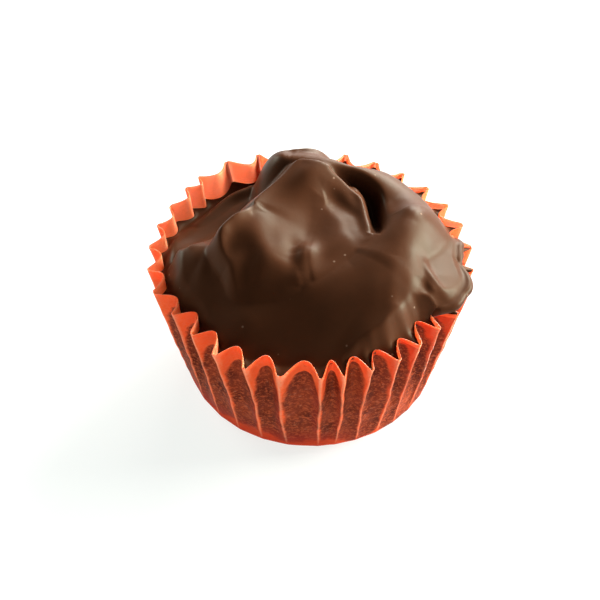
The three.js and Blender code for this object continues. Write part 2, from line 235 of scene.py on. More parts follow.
class PaperCaseSettings(bpy.types.PropertyGroup):
    rim_height: FloatProperty(
        name="Rim height", description="Height of the pleated wall",
        default=0.0215, min=0.01, max=0.05, precision=4, subtype="DISTANCE")
    rim_radius: FloatProperty(
        name="Rim radius", description="Radius out to the folds at the rim",
        default=0.0234, min=0.01, max=0.05, precision=4, subtype="DISTANCE")
    base_radius: FloatProperty(
        name="Base radius", description="Radius of the wall at the foot",
        default=0.0178, min=0.01, max=0.05, precision=4, subtype="DISTANCE")
    pleat_depth: FloatProperty(
        name="Pleat depth", description="Depth of the pleats at the rim",
        default=0.0028, min=0.0, max=0.006, precision=4, subtype="DISTANCE")
    thickness: FloatProperty(
        name="Paper thickness", description="Thickness of the paper",
        default=0.00012, min=0.00005, max=0.0005, precision=5, subtype="DISTANCE")
    colour: FloatVectorProperty(
        name="Paper", description="Colour of the clean paper",
        default=(0.93, 0.10, 0.022), min=0, max=1, subtype="COLOR")
    inner_colour: FloatVectorProperty(
        name="Inner face", description="Colour of the inner face, lit through from behind",
        default=(0.93, 0.26, 0.12), min=0, max=1, subtype="COLOR")
    # The fold colour stands for rubbed-off dye and a painted highlight along the folds
    fold_colour: FloatVectorProperty(
        name="Folds", description="Colour where the dye is rubbed off along the folds",
        default=(0.84, 0.30, 0.17), min=0, max=1, subtype="COLOR")
    grease_colour: FloatVectorProperty(
        name="Grease", description="Colour of the paper where the chocolate shows through it",
        default=(0.168, 0.026, 0.0085), min=0, max=1, subtype="COLOR")


class ChocolateSettings(bpy.types.PropertyGroup):
    clearance: FloatProperty(
        name="Clearance", description="Room between the chocolate and the paper",
        default=0.00005, min=0.0, max=0.0005, precision=5, subtype="DISTANCE")
    edge_roll: FloatProperty(
        name="Edge roll", description="Radius of the rolled edge beside the paper",
        default=0.0002, min=0.0001, max=0.001, precision=4, subtype="DISTANCE")
    colour: FloatVectorProperty(
        name="Chocolate", description="Colour of the chocolate",
        default=(0.054, 0.0198, 0.0088), min=0, max=1, subtype="COLOR")
    roughness: FloatProperty(
        name="Roughness", description="Roughness of the chocolate's skin",
        default=0.37, min=0.1, max=1.0, subtype="FACTOR")


class StageSettings(bpy.types.PropertyGroup):
    floor_size: FloatProperty(
        name="Floor size", description="Side of the square floor",
        default=3.0, min=0.5, max=10.0, subtype="DISTANCE")
    floor_colour: FloatVectorProperty(
        name="Floor", description="Colour of the floor",
        default=(0.30, 0.30, 0.30), min=0, max=1, subtype="COLOR")
    glow_colour: FloatVectorProperty(
        name="Floor glow", description="Colour with which the light table under the cup glows",
        default=(0.74, 0.79, 0.77), min=0, max=1, subtype="COLOR")
    back_power: FloatProperty(
        name="Back light", description="Power that the lights behind the cup share",
        default=17.0, min=0.0, max=100.0, subtype="POWER")
    side_power: FloatProperty(
        name="Side light", description="Power of the light at the right of the cup",
        default=17.3, min=0.0, max=100.0, subtype="POWER")
    fill_power: FloatProperty(
        name="Fill light", description="Power of the low light in front of the cup",
        default=1.2, min=0.0, max=100.0, subtype="POWER")


# Sums that the shapes share

def mix(a, b, share):
    return a + (b - a) * share


def smooth(share):
    share = np.clip(share, 0, 1)
    return share * share * (3 - 2 * share)


def degrees_off(degrees, at):
    """The signed angle from one direction to another, between -180 and 180."""
    return (degrees - at + 180) % 360 - 180


def near(degrees, swell):
    return swell.amount * np.exp(-(degrees_off(degrees, swell.at) / swell.width) ** 2)


def swelled(value, degrees, swells):
    for swell in swells:
        value = value + near(degrees, swell)
    return value


def along_stretch(degrees, stretch):
    off = np.abs(degrees_off(degrees, stretch.at))
    return stretch.amount * smooth((stretch.half + stretch.fade - off) / stretch.fade)


def chance(number, salt):
    """A repeatable value between -1 and 1 for each whole number."""
    wave = np.sin(np.asarray(number, float) * 12.9898 + salt * 78.233) * 43758.5453
    return 2 * (wave - np.floor(wave)) - 1


def uneven(u, what):
    """Each fold's own share of what differs between them, blended from one fold to the next."""
    salt, most = UNEVEN[what]
    low = np.floor(u)
    here, ahead = chance(low % PLEATS, salt), chance((low + 1) % PLEATS, salt)
    return most * mix(here, ahead, smooth(u - low))


def ripple(x, y, z, size, salt):
    """Gentle repeatable unevenness between about -1 and 1."""
    total = 0
    for k in range(6):
        a, b, c, phase = (chance(4 * k + j, salt) for j in range(4))
        total = total + np.sin((a * x + b * y + c * z) * (9 + 2 * k) / size + 3 * phase)
    return total / 3.5


# Shape of the case; u counts pleats round the rim, and s is the share of the wall's height

def fold_angle(u):
    """Direction in degrees of the point that lies u pleats round the rim."""
    even = 360 * u / PLEATS + FIRST_FOLD
    angle = even + FOLDS_TURN
    for waves, peak, amount in FOLD_WAVES:
        angle = angle + amount * np.cos(np.radians(waves * (even - peak)))
    return swelled(angle, even, CROWDED)


def panel_place(u):
    """0 in the inner fold, near the middle of a panel, and 1 on the outer folds at its sides."""
    within = u - np.floor(u)
    aside = PANEL_SKEW * chance(np.floor(u) % PLEATS, SKEW_SALT)
    within = within + aside * within * (1 - within)
    return np.abs(2 * within - 1)


def panel_side(u):
    """-1 at a panel's left fold, 1 at its right one."""
    within = u - np.floor(u)
    return 2 * within - 1


def pleat(u, s):
    """Shape of one pleat: 1 at the outer fold, blunt at the rim, and 0 in the round inner fold."""
    off = np.minimum(panel_place(u) * (1 + RIM_BLUNTNESS * s ** 4), 1)
    return FOLD_SLOPE * off + (1 - FOLD_SLOPE) * off ** FOLD_POWER


def seated(angle):
    return along_stretch(angle, SEAT)


def flap_dip(angle):
    return along_stretch(angle, FLAP_DIP)


def front_dip(angle):
    return near(angle, RIM_DIP) * (1 - seated(angle))


def overhang(angle):
    """How far the chocolate's edge reaches out over the rim."""
    return np.maximum(along_stretch(angle, FLAP), along_stretch(angle, SHOULDER))


def edge_height(angle):
    height = EDGE_HEIGHT + EDGE_TILT * np.cos(np.radians(angle - EDGE_TILT_AT))
    return swelled(height, angle, EDGE_SWELLS) - front_dip(angle)


class Case:
    """The pleated wall that both the paper and the chocolate follow, in millimetres."""

    def __init__(self, settings):
        self.rim = settings.rim_height / MM
        self.rim_radius = settings.rim_radius / MM
        self.base_radius = settings.base_radius / MM
        self.depth = settings.pleat_depth / MM
        self.paper = settings.thickness / MM

    def rim_height(self, u):
        angle = fold_angle(u)
        arch = 1 - smooth(panel_place(u) ** SCALLOP_POWER)
        scallop = (SCALLOP_RISE + uneven(u, "scallop")) * arch
        free = 1 - seated(angle)
        return (self.rim + (scallop + uneven(u, "rim height")) * free
                - flap_dip(angle) - front_dip(angle))

    def foot(self, height):
        """1 at the floor, falling to 0 where the rounded foot ends."""
        return np.clip(1 - height / FOOT_HEIGHT, 0, 1)

    def wall(self, u, s):
        """Plan position of the paper's outer face."""
        angle = fold_angle(u)
        rim = swelled(self.rim_radius, angle, RIM_FLARES)
        outer = self.base_radius + (rim - self.base_radius) * (s + WALL_BULGE * np.sin(np.pi * s))
        foot = self.foot(s * self.rim)
        depth = mix(PLEAT_DEPTH_BASE, self.depth, s ** PLEAT_DEPTH_POWER)
        kept = (1 - near(angle, PULLED_FLAT)) * (1 + uneven(u, "pleat depth"))
        radius = (outer - FOOT_INSET * (1 - np.sqrt(1 - foot * foot))
                  - depth * kept * (1 - pleat(u, s)))
        middle = np.sin(np.pi * np.clip(s, 0, 1))
        wander = sum(far * np.sin(fast * s + uneven(u, what)) for what, fast, far in WANDERS)
        lean = np.radians(angle + (uneven(u, "lean") + wander) * middle)
        crinkle = ripple(radius * np.cos(lean), radius * np.sin(lean), s * self.rim,
                         CRINKLE_SIZE, CRINKLE_SALT)
        radius = radius + CRINKLE_DEPTH * crinkle * middle
        return np.stack([BASE_SHIFT * (1 - s) + radius * np.cos(lean), radius * np.sin(lean)], -1)


def inset_ring(ring, distance):
    """One level of wall moved inwards, square to the pleats' flanks."""
    ahead = np.roll(ring, -1, 0) - ring
    after = np.stack([-ahead[:, 1], ahead[:, 0]], -1)
    after = after / np.linalg.norm(ahead, axis=1, keepdims=True)
    before = np.roll(after, 1, 0)
    # A limit keeps the move short where a fold is very sharp
    scale = distance / np.maximum(1 + (after * before).sum(1, keepdims=True), 0.3)
    return ring + (after + before) * scale


def evened(ring):
    """A ring with its pleats averaged away."""
    reach = PER_PLEAT // 2
    total = sum(np.roll(ring, k, 0) for k in range(-reach + 1, reach))
    return (total + (np.roll(ring, reach, 0) + np.roll(ring, -reach, 0)) / 2) / PER_PLEAT


def pushed_out(ring, amount):
    radius = np.linalg.norm(ring, axis=1)
    return ring * (1 + amount / radius)[:, None]


# Forms of the swirl; each is laid on the height z over the points x and y

def smooth_path(points):
    """A smooth curve through the points, in short steps."""
    points = np.asarray(points, float)
    padded = np.vstack([2 * points[0] - points[1], points, 2 * points[-1] - points[-2]])
    line = []
    for a, b, c, d in zip(padded[:-3], padded[1:-2], padded[2:-1], padded[3:]):
        steps = math.ceil(np.linalg.norm((c - b)[:2]) / PATH_SPACING)
        for t in np.arange(steps) / steps:
            line.append(0.5 * (2 * b + (c - a) * t + (2 * a - 5 * b + 4 * c - d) * t * t
                               + (3 * b - a - 3 * c + d) * t ** 3))
    line.append(points[-1])
    return np.array(line)


def along_path(x, y, points):
    """Distance from the path, the side of it (1 left, 0 right), its height there and the share of
    its length, blended between the stretches that are about equally near. Beside a straight
    path the blended distance is the true one."""
    line = smooth_path(points)
    start, ahead = line[:-1, :2], np.diff(line[:, :2], axis=0)
    length = np.linalg.norm(ahead, axis=1)
    dx, dy = x[:, None] - start[:, 0], y[:, None] - start[:, 1]
    t = np.clip((dx * ahead[:, 0] + dy * ahead[:, 1]) / length ** 2, 0, 1)
    ex, ey = dx - t * ahead[:, 0], dy - t * ahead[:, 1]
    distance = np.maximum(np.hypot(ex, ey), NEAREST)
    side = np.clip((ahead[:, 0] * ey - ahead[:, 1] * ex) / (length * distance), -1, 1)
    height = mix(line[:-1, 2], line[1:, 2], t) if line.shape[1] > 2 else 0 * t
    share = (np.arange(len(length)) + t) / len(length)
    nearest = distance.min(1)
    weight = (nearest[:, None] / distance) ** BLEND * length
    total = weight.sum(1)
    side, height, share = ((weight * value).sum(1) / total for value in (side, height, share))
    reach = (total / STRAIGHT_SHARE * nearest ** -BLEND) ** (-1 / (BLEND - 1))
    return reach, 0.5 + 0.5 * side, height, share


def flank(distance, shape):
    width, drop, power = shape
    return drop * (distance / width) ** power


def merge(a, b, seam):
    """The higher of two surfaces with a soft seam between them."""
    share = np.clip(0.5 + 0.5 * (a - b) / seam, 0, 1)
    return mix(b, a, share) + seam * share * (1 - share)


class Lump(NamedTuple):
    """A round rise, or a hollow where its rise is below 0."""
    at: tuple
    size: tuple
    rise: float
    turn: float = 0

    def lay(self, x, y, z):
        dx, dy, turn = x - self.at[0], y - self.at[1], math.radians(self.turn)
        along = (dx * math.cos(turn) + dy * math.sin(turn)) / self.size[0]
        across = (dy * math.cos(turn) - dx * math.sin(turn)) / self.size[1]
        return z + self.rise * np.exp(-along ** 2 - across ** 2)


class Welt(NamedTuple):
    """A soft line, raised or cut in, that dies out at both ends."""
    line: tuple
    width: float
    rise: float

    def lay(self, x, y, z):
        distance, _, _, share = along_path(x, y, self.line)
        ends = np.sin(np.pi * np.clip(share, 0, 1)) ** 0.8
        return z + self.rise * ends * np.exp(-(distance / self.width) ** 2)


class Fold(NamedTuple):
    """A crest (x, y, z) with a flank on its left and right: width, drop and power of each."""
    crest: tuple
    left: tuple
    right: tuple
    seam: float

    def lay(self, x, y, z):
        distance, left, height, _ = along_path(x, y, self.crest)
        drop = mix(flank(distance, self.right), flank(distance, self.left), left)
        return merge(z, height - drop, self.seam)


class Lobe(NamedTuple):
    """A dome that falls off at the left of its edge. Spread is how fast it drops to the west,
    east, front and back; fades are the shares of the edge over which its lip starts and ends."""
    top: tuple
    spread: tuple
    lip: tuple
    edge: tuple
    fades: tuple
    outside: tuple
    seam: float

    def lay(self, x, y, z):
        distance, left, _, share = along_path(x, y, self.edge)
        tx, ty, tz = self.top
        west, east, front, back = self.spread
        dome = (tz - np.where(x < tx, west, east) * (x - tx) ** 2
                - np.where(y < ty, front, back) * (y - ty) ** 2)
        rise, width = self.lip
        start, end = self.fades
        lip = rise * np.exp(-(distance / width) ** 2) - flank(distance, self.outside) * left
        kept = smooth(share / start) * smooth((1 - share) / end)
        return merge(z, dome + lip * kept, self.seam)


# The swirl on top, in the order in which its forms are laid down. The forms were listed first,
# and a least-squares fit to the photo's light and shade then set most of these numbers
SWIRL = (
    # Swells and dips of the mound
    Lump((-14.3, -7.7), size=(5.5, 4.6), rise=0.43),
    Lump((-3.1, -16.1), size=(6.8, 5.4), rise=-1.17),
    Lump((10.2, -11.6), size=(3.1, 4.7), rise=0.7),
    Lump((-13.2, 6.6), size=(3.4, 4.1), rise=-1.19),
    Lump((17.5, -3.8), size=(2.3, 3.2), rise=-1.58),
    Lump((-10.8, 9), size=(8.4, 8.1), rise=-0.61),
    # Back-left lip
    Fold(((-16.2, 9.3, 19.6), (-11.8, 14.4, 20.6), (-8.7, 15.5, 21.6)), left=(1.45, 1.6, 2.05),
         right=(2.27, 1.3, 1.7), seam=0.84),
    # Left crest
    Fold(((-20.1, 0.6, 21.6), (-17.8, 0.2, 22.5), (-17.5, -1.4, 24.9), (-14.5, -1.7, 25),
         (-11.8, -3.9, 25.9)), left=(4.73, 1.3, 1.59), right=(5.84, 2.2, 1.45), seam=0.78),
    # Back hump
    Fold(((-3.2, 16.9, 27.9), (-1.6, 16.7, 28.5), (1.3, 15.1, 29.6), (5.7, 11.2, 28.9)),
         left=(3.53, 4.6, 2.35), right=(8.84, 2.4, 1.99), seam=0.69),
    # Central lobe
    Lobe(top=(-2.3, 3.4, 32.3), spread=(0.0233, 0.0234, 0.0324, 0.0266), lip=(0.23, 0.9),
         edge=((-9.7, -12.3), (-11.1, -7.9), (-12.7, -3.9), (-11.8, -2.4), (-10, -0.5),
         (-7.9, 2.3), (-7.9, 3), (-6.6, 5.1), (-4.4, 7.9), (-1.8, 11.4), (0.1, 11.2), (3.1, 10.1),
         (5.2, 8.4), (7.3, 6), (8.1, 2), (8.7, -2.2), (9.4, -8.5)), fades=(0.1, 0.26),
         outside=(2.26, 2.8, 1.15), seam=0.16),
    # Brow, the scoops on both sides of it, and the finger between them
    Welt(((-7.2, -6.1), (-4.1, -7.9), (-1.5, -9.7), (1.9, -8.3), (5.4, -6.9)), width=2.11,
         rise=0.37),
    Lump((-2.5, -5.4), size=(1.2, 3.1), rise=-0.56),
    Lump((0.4, -1.9), size=(2.5, 4), rise=-0.74),
    Welt(((-1.8, -3.5), (-0.6, -5.3), (-1.5, -8.3), (-1.9, -10.3)), width=1.74, rise=0.75),
    # Ridge beside the nose
    Welt(((-7, 1.2), (-7.3, -2.9), (-6.5, -6.8), (-8.3, -9.2), (-9, -11.4)), width=1.67,
         rise=0.36),
    # The inner curl's groove and the curl's hollow
    Welt(((2.2, 3.8), (2.9, 4.6), (4.9, 2), (5.4, -0.5), (6.3, -2.3), (7, -4.2)), width=0.82,
         rise=-0.17),
    Welt(((1.3, 5.9), (2.1, 6.9), (6.1, 3.2), (7, -0.3), (8.3, -2.2)), width=1.36, rise=-0.72),
    # Right shoulder
    Fold(((13.4, 14.9, 22.6), (16.7, 10.8, 23.3), (18.8, 5.3, 23.8), (19.9, -1.2, 23.4),
         (19.7, -4.7, 23.2)), left=(2.56, 1.2, 2.25), right=(2.82, 0.5, 1.66), seam=0.59),
    # Long right fold
    Fold(((2.3, 8.9, 30.3), (4.8, 9.4, 28.8), (6.2, 10.5, 29.3), (9.3, 9.5, 28), (11.6, 7, 27.6),
         (12.8, 3.4, 28.1), (13.2, 2.7, 28.2), (12.7, 0.5, 27.6), (12, -4.2, 26.3),
         (13.3, -9.2, 24.3), (10.8, -13.5, 25), (12.8, -17.6, 23.7)), left=(5.71, 3, 2.21),
         right=(8.99, 3, 2.11), seam=0.75),
    # Flap
    Fold(((18.2, 3.3, 23), (16.8, 0.2, 24.1), (16.6, -2.3, 24.3), (16.2, -4.6, 24.4),
         (16, -7.3, 24.5), (17.5, -10, 24.1), (18.9, -11.1, 23.8), (19.6, -11.7, 22.6)),
         left=(4.22, 1, 1.6), right=(2.22, 1.8, 1.61), seam=0.53),
    # Crevice
    Welt(((2.7, 10.7), (6.4, 10.5), (8.7, 8.8), (9.2, 5.8), (9.6, 1), (9.1, -1.1), (9, -1.3)),
         width=0.91, rise=-3.41),
    # Soft bump and a drip at the front
    Lump((-8.9, -13.9), size=(2.3, 2), rise=0.3),
    Welt(((11.7, -6.3), (11.6, -10.2), (11.3, -14.4), (12, -17.8)), width=1.26, rise=0.28),
    # Broad dip in the middle, and the bodies of the right fold, the nose and the left swell
    Lump((0.2, 3.2), size=(9, 8.9), rise=-4.66),
    Lump((13.4, -0.5), size=(3.8, 6.5), rise=2.07),
    Lump((-10.3, -5.6), size=(2, 3.7), rise=0.6, turn=-5),
    Lump((-15.6, -4.2), size=(1.8, 2.8), rise=0.72, turn=-5),
    # Both sides of the hump, then the flap, the right fold's front and the right flank
    Lump((-3.9, 13.7), size=(3.1, 2.2), rise=1.77, turn=-20),
    Lump((4.3, 15.7), size=(4.6, 1.9), rise=-2.54, turn=-8),
    Lump((17.9, -7.8), size=(1.5, 3.5), rise=0.15, turn=-6),
    Lump((16.5, -11.2), size=(1.1, 3.3), rise=0.88, turn=6),
    Lump((13.6, -10.5), size=(1.6, 3), rise=0.64, turn=-7),
    Lump((9.4, -6.1), size=(3.8, 2.9), rise=0.32, turn=3),
    Lump((12.3, 5.5), size=(3.3, 7.5), rise=-1.18, turn=-14),
    # Hollow at the back left, behind the nose, below the brow, and the lobe's back
    Lump((-16, 3.8), size=(2.6, 3.3), rise=-0.82, turn=-9),
    Lump((-12.4, 0.2), size=(2.4, 2.3), rise=0.31),
    Lump((-0.7, -7.6), size=(5.4, 1.9), rise=-0.71, turn=27),
    Lump((0.3, 9.1), size=(5.2, 3), rise=2.32, turn=48),
    # The nose: its face, top, side and foot
    Lump((-10.7, -4.9), size=(3, 1.9), rise=-0.78, turn=7),
    Lump((-11, -0.4), size=(1.6, 1.3), rise=0.44, turn=12),
    Lump((-12.2, -3.4), size=(1.4, 2.8), rise=0.61, turn=12),
    Lump((-9, -8.4), size=(1.3, 2.3), rise=-0.4),
    # Flat of the lobe, and beside the nose
    Lump((-5.2, -2.7), size=(2.4, 2.9), rise=-0.32, turn=-5),
    Lump((-13.8, -2.5), size=(1.8, 1.6), rise=0.55),
    # The nose's rim and the crevice's edge
    Welt(((-8.3, 1.2), (-8.9, 1.1), (-10.8, -0.6), (-12.3, -2.4), (-12.8, -4.9), (-12.2, -7.2)),
         width=0.9, rise=0.85),
    Welt(((3.1, 9.5), (5.6, 8.2), (6.9, 5.8), (8.1, 3.3), (8.8, 0.7)), width=1.11, rise=-0.47),
    # Left scoop and a faint streak
    Lump((-3.8, -6.1), size=(1.2, 1.3), rise=-0.14),
    Welt(((12.5, -1), (13, -6), (12.7, -11), (12.8, -15)), width=0.81, rise=-0.03),
    # The flap's edge and the shadow under it
    Welt(((15.9, -3.5), (16.2, -5.7), (16.9, -7.5), (18.1, -9.1), (19.5, -10.2)), width=0.6,
         rise=0.32),
    Welt(((15.2, -8.2), (16.1, -9.8), (17.5, -11.1), (19, -12)), width=0.9, rise=-0.5),
    # Beads at the rim
    Lump((10.9, -16.1), size=(1.2, 1.2), rise=0.15),
    Lump((16.5, -10.8), size=(1.3, 1.2), rise=0.2),
)


def top_height(x, y):
    """Height of the chocolate's top over points of the plan."""
    out = np.hypot(x, y) / MOUND_RADIUS
    z = edge_height(np.degrees(np.arctan2(y, x))) + MOUND_RISE * (1 - out ** MOUND_POWER)
    for form in SWIRL:
        z = form.lay(x, y, z)
    return z


# Meshes

class Skin:
    """Points and faces of one mesh, made ring by ring in millimetres."""

    def __init__(self, *fields):
        self.points = []
        self.faces = []
        self.fields = {name: [] for name in fields}
        self.count = 0

    def ring(self, plan, heights, **values):
        """One ring of points. Each field of the mesh takes its value there by name."""
        start = self.count
        self.points.append(np.column_stack([plan, np.broadcast_to(heights, len(plan))]))
        for name, stored in self.fields.items():
            stored.append(np.broadcast_to(np.asarray(values.get(name, 0), float), len(plan)))
        self.count += len(plan)
        return np.arange(start, self.count)

    def dot(self, x, y, z):
        return self.ring(np.array([[x, y]]), z)[0]

    def band(self, low, high):
        """Faces between a ring and the next; upwards round an anticlockwise ring they face out."""
        self.faces.extend(np.stack([low, np.roll(low, -1), np.roll(high, -1), high], -1).tolist())

    def halve(self, fine, coarse):
        """Faces from a ring to one with half as many points."""
        a, b, c = fine[0::2], fine[1::2], np.roll(fine[0::2], -1)
        d, e = coarse, np.roll(coarse, -1)
        for corners in ((a, b, d), (b, e, d), (b, c, e)):
            self.faces.extend(np.stack(corners, -1).tolist())

    def fan(self, ring, centre, down):
        a, b = ring, np.roll(ring, -1)
        pair = (b, a) if down else (a, b)
        self.faces.extend(np.stack([*pair, np.full(len(ring), centre)], -1).tolist())

    def piece(self, name):
        mesh = bpy.data.meshes.new(name)
        points = (np.vstack(self.points) + [*PLAN_SHIFT, 0]) * MM
        mesh.from_pydata(points.tolist(), [], self.faces)
        for field, stored in self.fields.items():
            layer = mesh.attributes.new(field, "FLOAT", "POINT")
            layer.data.foreach_set("value", np.concatenate(stored).astype(np.float32))
        mesh.polygons.foreach_set("use_smooth", [True] * len(mesh.polygons))
        mesh.update()
        piece = bpy.data.objects.new(name, mesh)
        bpy.context.scene.collection.objects.link(piece)
        return piece


def column_places():
    return np.arange(COLUMNS) / PER_PLEAT


def grease_margin(u, z, rim):
    """Above 0 where the panel is stained by the chocolate behind it, in shares of its width."""
    soaked = along_stretch(fold_angle(u), SOAKED_HIGH)
    top = rim - STAIN_BELOW_RIM + uneven(u, "stain's top") + SOAKED_TOP * soaked
    arch = np.clip((z - STAIN_ARCH_FROM) / (top - STAIN_ARCH_FROM), 0, 1.05)
    half = (STAIN_HALF * np.clip(1 - arch * arch, 0, 1) ** STAIN_ARCH_POWER
            + uneven(u, "stain's sides") - np.where(arch > 1, 1, 0))
    foot = z - STAIN_ABOVE_FLOOR - uneven(u, "stain's foot") + SOAKED_FOOT * soaked
    return np.minimum(half - panel_place(u), foot / STAIN_FOOT_FADE)


def fold_wear(u, s):
    """1 on an outer fold, falling to 0 within a narrow line, or a wider wedge at the rim."""
    wedge = WEAR_WEDGE + uneven(np.round(u), "wear at the rim")
    (start, ease), (widens, over) = WEAR_START, WEAR_WIDENS
    width = mix(WEAR_LINE, wedge, np.clip((s - widens) / over, 0, 1) ** WEAR_WEDGE_POWER)
    across = smooth(1 - (1 - panel_place(u)) / width)
    return across * smooth((s - start) / ease) * mix(WEAR_AT_FOOT, 1, s)


def paper_skin(case):
    """One thin wall: up the outer face, over the rim, and down the inner face to the floor."""
    skin = Skin("grease", "wear", "side")
    u = column_places()
    rim = case.rim_height(u)
    foot = np.array(PAPER_FOOT_LEVELS) / case.rim
    wall = np.linspace(foot[-1], 1, PAPER_WALL_LEVELS)[1:-1]
    shares = np.concatenate([foot, wall, PAPER_LAST_SHARES])
    faces = []
    for inset in (0, case.paper):
        rings = []
        for share in shares:
            plan, z = case.wall(u, share), share * rim
            if inset:
                plan = inset_ring(plan, inset * (EDGE_TAPER if share == 1 else 1))
            unseen = inset and share < 1
            rings.append(skin.ring(plan, z + inset * case.foot(z),
                                   grease=INNER_FACE if unseen else grease_margin(u, z, rim),
                                   wear=0 if inset else fold_wear(u, share),
                                   side=panel_side(u)))
        faces.append(rings)
    outer, inner = faces
    for k in range(len(shares) - 1):
        skin.band(outer[k], outer[k + 1])
        skin.band(inner[k + 1], inner[k])
    skin.band(outer[-1], inner[-1])
    skin.fan(outer[0], skin.dot(BASE_SHIFT, 0, 0), True)
    skin.fan(inner[0], skin.dot(BASE_SHIFT, 0, case.paper), False)
    return skin


def top_rows():
    """For each row of the top: one in how many columns, and its share of the way out."""
    for share in np.array(EDGE_ROWS):
        yield 1, share
    for every, start, end, count in TOP_ROWS:
        for share in np.linspace(start, end, count + 1)[1:]:
            if share > 0:
                yield every, share


def chocolate_skin(case, settings):
    """One body: floor, wall inside the paper, rolled edge with the flap, and the swirled top."""
    skin = Skin()
    u = column_places()
    angle = fold_angle(u)
    inset = case.paper + settings.clearance / MM
    over = overhang(angle)
    eased = np.minimum(over / SHOULDER.amount, 1)
    roll = settings.edge_roll / MM
    clear_rim = case.rim - flap_dip(angle) + SEAT_CLEARANCE
    rim = case.rim_height(u)
    inside = np.minimum(edge_height(angle), case.rim - EDGE_BELOW_RIM)
    wall_top = mix(inside - roll, clear_rim, seated(angle))

    levels = []
    for share in np.array(CHOCOLATE_WALL_LEVELS) / case.rim:
        z = share * rim
        levels.append(skin.ring(inset_ring(case.wall(u, share), inset), z + inset * case.foot(z)))
    top_plan = inset_ring(case.wall(u, wall_top / rim), inset)
    levels.append(skin.ring(top_plan, wall_top))
    lip = mix(top_plan, evened(top_plan), eased[:, None])
    radius = mix(roll, FLAP_EDGE_RADIUS, eased)
    for turn in np.linspace(0, 1, EDGE_TURNS):
        tilt = np.radians(mix(FLAP_TUCK * eased, 90, turn))
        plan = pushed_out(lip, over - radius + radius * np.cos(tilt))
        levels.append(skin.ring(plan, wall_top + radius * (eased + np.sin(tilt))))
    for low, high in zip(levels, levels[1:]):
        skin.band(low, high)
    skin.fan(levels[0], skin.dot(BASE_SHIFT, 0, inset), True)

    brim, smooth_brim = plan, evened(plan)
    edge_top = wall_top + radius * (1 + eased)
    last = levels[-1]
    for every, share in top_rows():
        plan = share * mix(smooth_brim, brim, share ** PLEAT_FADE)[::every]
        edge, free = edge_top[::every], top_height(*plan.T)
        reach = EDGE_SLOPE_REACH + EDGE_SLOPE_GAIN * np.abs(free - edge)
        row = skin.ring(plan, mix(edge, free, smooth((1 - share) / reach)))
        if len(row) < len(last):
            skin.halve(last, row)
        else:
            skin.band(last, row)
        last = row
    centre = np.zeros(1)
    skin.fan(last, skin.dot(0, 0, top_height(centre, centre)[0]), False)
    return skin


# Materials

def is_socket(value):
    return isinstance(value, bpy.types.NodeSocket)


def tinted(colour, *factors):
    """A colour times one factor, or times one for each channel."""
    if len(factors) == 1:
        factors = factors * 3
    return [channel * factor for channel, factor in zip(colour, factors)]


class Nodes:
    """Adds nodes to one tree, in columns from the left. An input takes a value or a socket."""

    def __init__(self, tree):
        self.tree = tree

    def feed(self, socket, value):
        if is_socket(value):
            self.tree.links.new(value, socket)
        else:
            socket.default_value = value

    def add(self, kind, inputs=(), **settings):
        column, row = divmod(len(self.tree.nodes), NODE_ROWS)
        made = self.tree.nodes.new(kind)
        made.location = (NODE_LEFT + column * NODE_STEP[0], -row * NODE_STEP[1])
        for name, value in settings.items():
            setattr(made, name, value)
        for key, value in dict(inputs).items():
            self.feed(made.inputs[key], value)
        return made

    def where(self):
        return self.add("ShaderNodeTexCoord").outputs["Object"]

    def attribute(self, name):
        return self.add("ShaderNodeAttribute", attribute_name=name,
                        attribute_type="GEOMETRY").outputs["Fac"]

    def ramp(self, value, low, high, to_low=0.0, to_high=1.0, soft=False):
        """From to_low where the value is low to to_high where it is high."""
        return self.add("ShaderNodeMapRange",
                        {"Value": value, "From Min": low, "From Max": high,
                         "To Min": to_low, "To Max": to_high},
                        interpolation_type="SMOOTHSTEP" if soft else "LINEAR").outputs["Result"]

    def maths(self, operation, a, b):
        return self.add("ShaderNodeMath", {0: a, 1: b}, operation=operation).outputs[0]

    def times(self, a, b):
        return self.maths("MULTIPLY", a, b)

    def blend(self, share, a, b):
        """The colour a, with the share given of the colour b."""
        a, b = (colour if is_socket(colour) else (*colour, 1.0) for colour in (a, b))
        return self.add("ShaderNodeMix", {0: share, 6: a, 7: b}, data_type="RGBA").outputs[2]

    def group(self, group, **inputs):
        return self.add("ShaderNodeGroup", inputs, node_tree=group).outputs[0]


def new_material(name):
    material = bpy.data.materials.new(name)
    material.use_nodes = True
    tree = material.node_tree
    return material, Nodes(tree), tree.nodes["Principled BSDF"]


def group_shell(name, **numbers):
    """A group that turns a vector and some numbers into a mask."""
    tree = bpy.data.node_groups.new(name, "ShaderNodeTree")
    tree.interface.new_socket("Vector", in_out="INPUT", socket_type="NodeSocketVector")
    for socket, default in numbers.items():
        made = tree.interface.new_socket(socket, in_out="INPUT", socket_type="NodeSocketFloat")
        made.default_value = default
    tree.interface.new_socket("Mask", in_out="OUTPUT", socket_type="NodeSocketFloat")
    nodes = Nodes(tree)
    entry = nodes.add("NodeGroupInput").outputs
    leave = nodes.add("NodeGroupOutput")
    leave.location = (0, 0)
    return nodes, entry, leave.inputs


def mottle_group():
    """Soft cloudy patches, 0 to 1, for colour and sheen that vary over a surface."""
    nodes, entry, leave = group_shell("Mottling", Scale=100.0, Detail=3.0, Contrast=0.2)
    noise = nodes.add("ShaderNodeTexNoise",
                      {"Vector": entry["Vector"], "Scale": entry["Scale"],
                       "Detail": entry["Detail"], "Roughness": 0.55})
    low = nodes.maths("SUBTRACT", 0.5, entry["Contrast"])
    high = nodes.maths("ADD", 0.5, entry["Contrast"])
    nodes.feed(leave["Mask"], nodes.ramp(noise.outputs["Fac"], low, high))
    return nodes.tree


